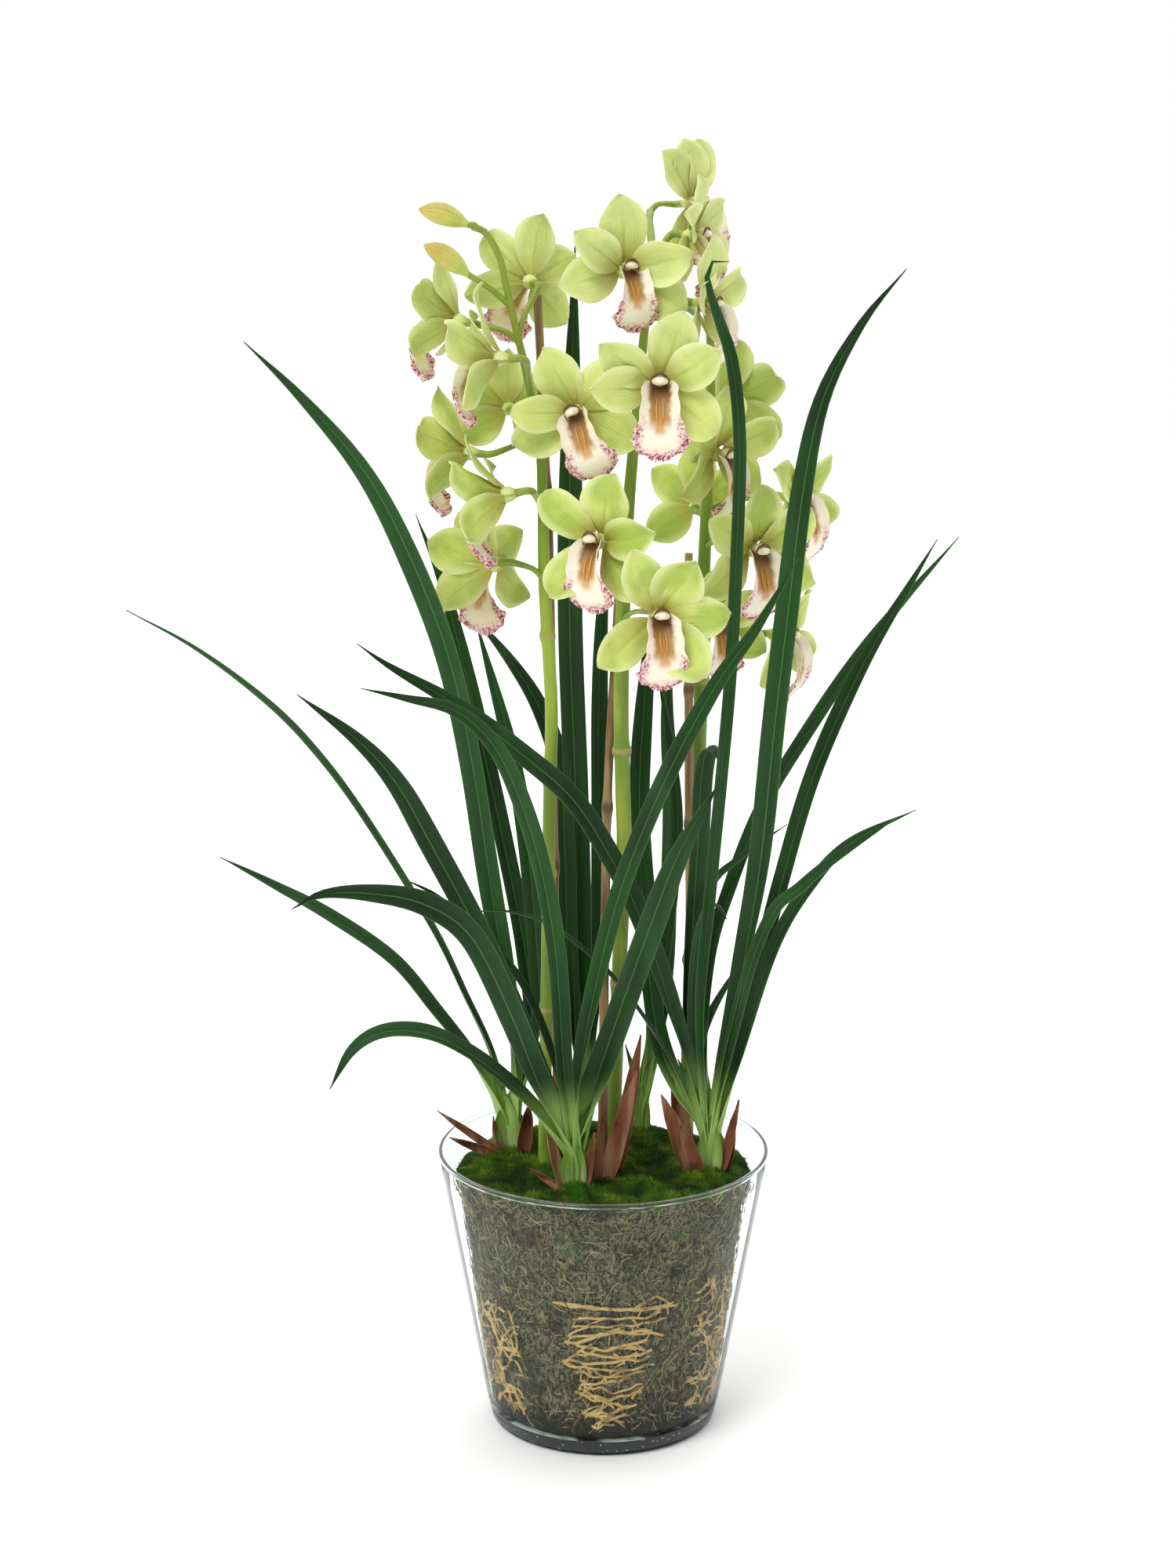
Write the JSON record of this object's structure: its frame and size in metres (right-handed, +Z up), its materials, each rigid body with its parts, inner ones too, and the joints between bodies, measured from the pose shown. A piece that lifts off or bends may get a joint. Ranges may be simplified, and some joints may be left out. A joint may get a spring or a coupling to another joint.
{
  "type": "potted cymbidium orchid",
  "caption": "Cymbidium orchid planting in a clear conical glass vase: strap-leaf fans, tall flower spikes with yellow-green blooms and cream lips, moss over rooted soil.",
  "frame": {"origin": "centre of the vase's base, on the surface it stands on", "axes": "+Z up along the vase's axis, -Y to the front where most blooms face, +X to the right seen from the front"},
  "size_m": [0.5397, 0.2631, 0.8263],
  "materials": {
    "clear_glass": "clear, polished",
    "dark_substrate": "coarse, matt",
    "moss_green": "fuzzy, matt",
    "root_tan": "fibrous",
    "leaf_green": "waxy, satin",
    "cane_tan": "dry, matt",
    "stem_green": "waxy, satin",
    "tepal_green": "waxy, soft",
    "lip_cream": "velvety, spotted margin",
    "sheath_brown": "dry, papery"
  },
  "bodies": {
    "root": {"vase": "clear_glass", "soil": "dark_substrate", "moss": "moss_green", "roots": "root_tan", "fan_left": "leaf_green", "fan_front": "leaf_green", "fan_right": "leaf_green", "fan_back": "leaf_green", "cane_a": "cane_tan", "cane_b": "cane_tan", "cane_c": "cane_tan", "spike_a": "stem_green", "spike_b": "stem_green", "spike_c": "stem_green", "bloom_a1_tepals": "tepal_green", "bloom_a1_lip": "lip_cream", "bloom_a2_tepals": "tepal_green", "bloom_a2_lip": "lip_cream", "bloom_a3_tepals": "tepal_green", "bloom_a3_lip": "lip_cream", "bloom_a4_tepals": "tepal_green", "bloom_a4_lip": "lip_cream", "bloom_a5_tepals": "tepal_green", "bloom_a5_lip": "lip_cream", "bloom_a6_tepals": "tepal_green", "bloom_a6_lip": "lip_cream", "bloom_a7_tepals": "tepal_green", "bloom_m1_tepals": "tepal_green", "bloom_m1_lip": "lip_cream", "bloom_b1_tepals": "tepal_green", "bloom_b1_lip": "lip_cream", "bloom_b2_tepals": "tepal_green", "bloom_b2_lip": "lip_cream", "bloom_b3_tepals": "tepal_green", "bloom_b3_lip": "lip_cream", "bloom_b4_tepals": "tepal_green", "bloom_b4_lip": "lip_cream", "bloom_c1_tepals": "tepal_green", "bloom_c1_lip": "lip_cream", "bloom_c2_tepals": "tepal_green", "bloom_c2_lip": "lip_cream", "bloom_c3_tepals": "tepal_green", "bloom_c3_lip": "lip_cream", "bloom_c4_tepals": "tepal_green", "bloom_c4_lip": "lip_cream", "bloom_c5_tepals": "tepal_green", "bloom_c5_lip": "lip_cream", "bloom_c6_tepals": "tepal_green", "bloom_c6_lip": "lip_cream", "bloom_c7_tepals": "tepal_green", "bloom_c7_lip": "lip_cream", "bloom_c8_tepals": "tepal_green", "bloom_c8_lip": "lip_cream", "bloom_c9_tepals": "tepal_green", "bloom_c9_lip": "lip_cream", "bloom_k1_tepals": "tepal_green", "sheath_left": "sheath_brown", "sheath_front": "sheath_brown", "sheath_middle": "sheath_brown", "sheath_right": "sheath_brown"}
  },
  "joints": []
}
